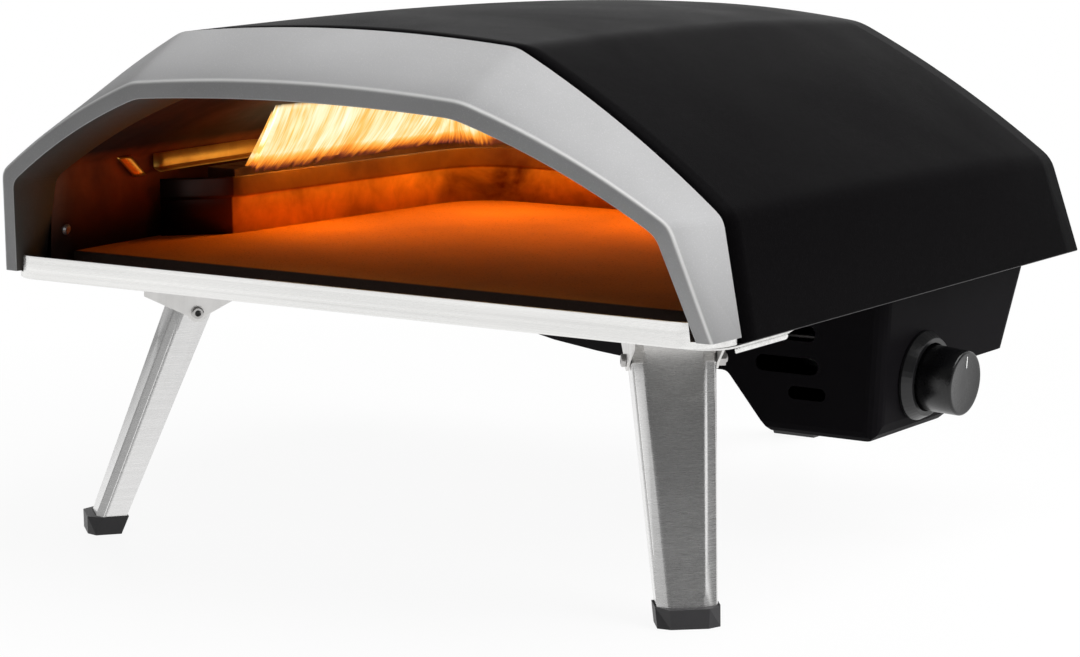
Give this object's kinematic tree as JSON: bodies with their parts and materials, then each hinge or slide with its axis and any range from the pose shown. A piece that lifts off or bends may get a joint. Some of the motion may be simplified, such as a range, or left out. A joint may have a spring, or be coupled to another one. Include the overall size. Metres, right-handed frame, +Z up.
{
  "type": "portable gas pizza oven",
  "caption": "Low arched gas pizza oven with a wide front mouth, flat stone, side and rear burner, control knob, and folding legs.",
  "frame": {"origin": "on the floor, under the middle of the bounding box", "axes": "+X to the right as the cook faces the mouth, +Y from the mouth to the back, +Z up"},
  "size_m": [0.582, 0.6464, 0.3658],
  "materials": {
    "black_powder_coat": "matt textured",
    "grey_powder_coat": "satin",
    "brushed_stainless": "brushed",
    "heat_stained_steel": "heat stained",
    "black_oxide": "satin black",
    "ceramic_fibre": "soft blanket",
    "cordierite": "matt",
    "brass": "machined",
    "white_ceramic": "matt",
    "black_plastic": "moulded",
    "black_rubber": "moulded"
  },
  "bodies": {
    "oven": {"baking_stone": "cordierite", "base_tray": "brushed_stainless", "bracket_rivet_front_left_1": "brushed_stainless", "bracket_rivet_front_left_2": "brushed_stainless", "bracket_rivet_front_right_1": "brushed_stainless", "bracket_rivet_front_right_2": "brushed_stainless", "bracket_rivet_rear_1": "brushed_stainless", "bracket_rivet_rear_2": "brushed_stainless", "burner": "heat_stained_steel", "burner_foot_1": "heat_stained_steel", "burner_foot_2": "heat_stained_steel", "burner_foot_3": "heat_stained_steel", "burner_housing": "black_powder_coat", "chamber_back_wall": "heat_stained_steel", "chamber_liner": "heat_stained_steel", "flame_guard": "heat_stained_steel", "front_fascia": "grey_powder_coat", "front_lip": "brushed_stainless", "gas_inlet": "brass", "gas_jet": "brass", "gas_pipe": "brushed_stainless", "gas_valve": "brass", "hinge_nut_front_left": "black_oxide", "hinge_nut_front_right": "black_oxide", "hinge_nut_rear": "black_oxide", "hinge_pin_front_left": "black_oxide", "hinge_pin_front_right": "black_oxide", "hinge_pin_rear": "black_oxide", "igniter_electrode": "white_ceramic", "insulation_blanket": "ceramic_fibre", "intake_duct": "black_powder_coat", "knob_collar": "black_plastic", "leg_bracket_front_left": "brushed_stainless", "leg_bracket_front_right": "brushed_stainless", "leg_bracket_rear": "brushed_stainless", "liner_screw_left": "heat_stained_steel", "liner_screw_right": "heat_stained_steel", "mixing_tube": "brushed_stainless", "outer_shell": "black_powder_coat", "panel_screw_1": "black_powder_coat", "panel_screw_2": "black_powder_coat", "panel_screw_3": "black_powder_coat", "panel_screw_4": "black_powder_coat", "piezo_igniter": "black_plastic", "rear_panel": "black_powder_coat"},
    "valve_plug": {"valve_plug": "brass"},
    "control_knob": {"valve_stem": "brushed_stainless", "control_knob": "black_plastic"},
    "leg_front_left": {"leg_front_left": "brushed_stainless", "foot_cap_front_left": "black_rubber"},
    "leg_front_right": {"leg_front_right": "brushed_stainless", "foot_cap_front_right": "black_rubber"},
    "leg_rear": {"leg_rear": "brushed_stainless", "foot_cap_rear": "black_rubber"}
  },
  "joints": [
    {"name": "leg_fold_front_left", "type": "hinge", "parent": "oven", "child": "leg_front_left", "pos_m": [-0.2008, -0.19017, 0.1559], "axis": [0.7604, -0.6494, 0], "range_deg": [0, 112.4]},
    {"name": "leg_fold_front_right", "type": "hinge", "parent": "oven", "child": "leg_front_right", "pos_m": [0.2008, -0.19017, 0.1559], "axis": [0.7604, 0.6494, 0], "range_deg": [0, 112.4]},
    {"name": "leg_fold_rear", "type": "hinge", "parent": "oven", "child": "leg_rear", "pos_m": [0, 0.21873, 0.1559], "axis": [-1, 0, 0], "range_deg": [0, 119.6]},
    {"name": "knob_turn", "type": "hinge", "parent": "oven", "child": "valve_plug", "pos_m": [0.24948, 0.04773, 0.1127], "axis": [0.9978, 0, -0.0669], "range_deg": [0, 210]},
    {"name": "knob_push", "type": "slide", "parent": "valve_plug", "child": "control_knob", "axis": [-0.9978, 0, 0.0669], "range_m": [0, 0.003], "stiffness_N_per_m": 600, "springref_m": -0.004}
  ]
}
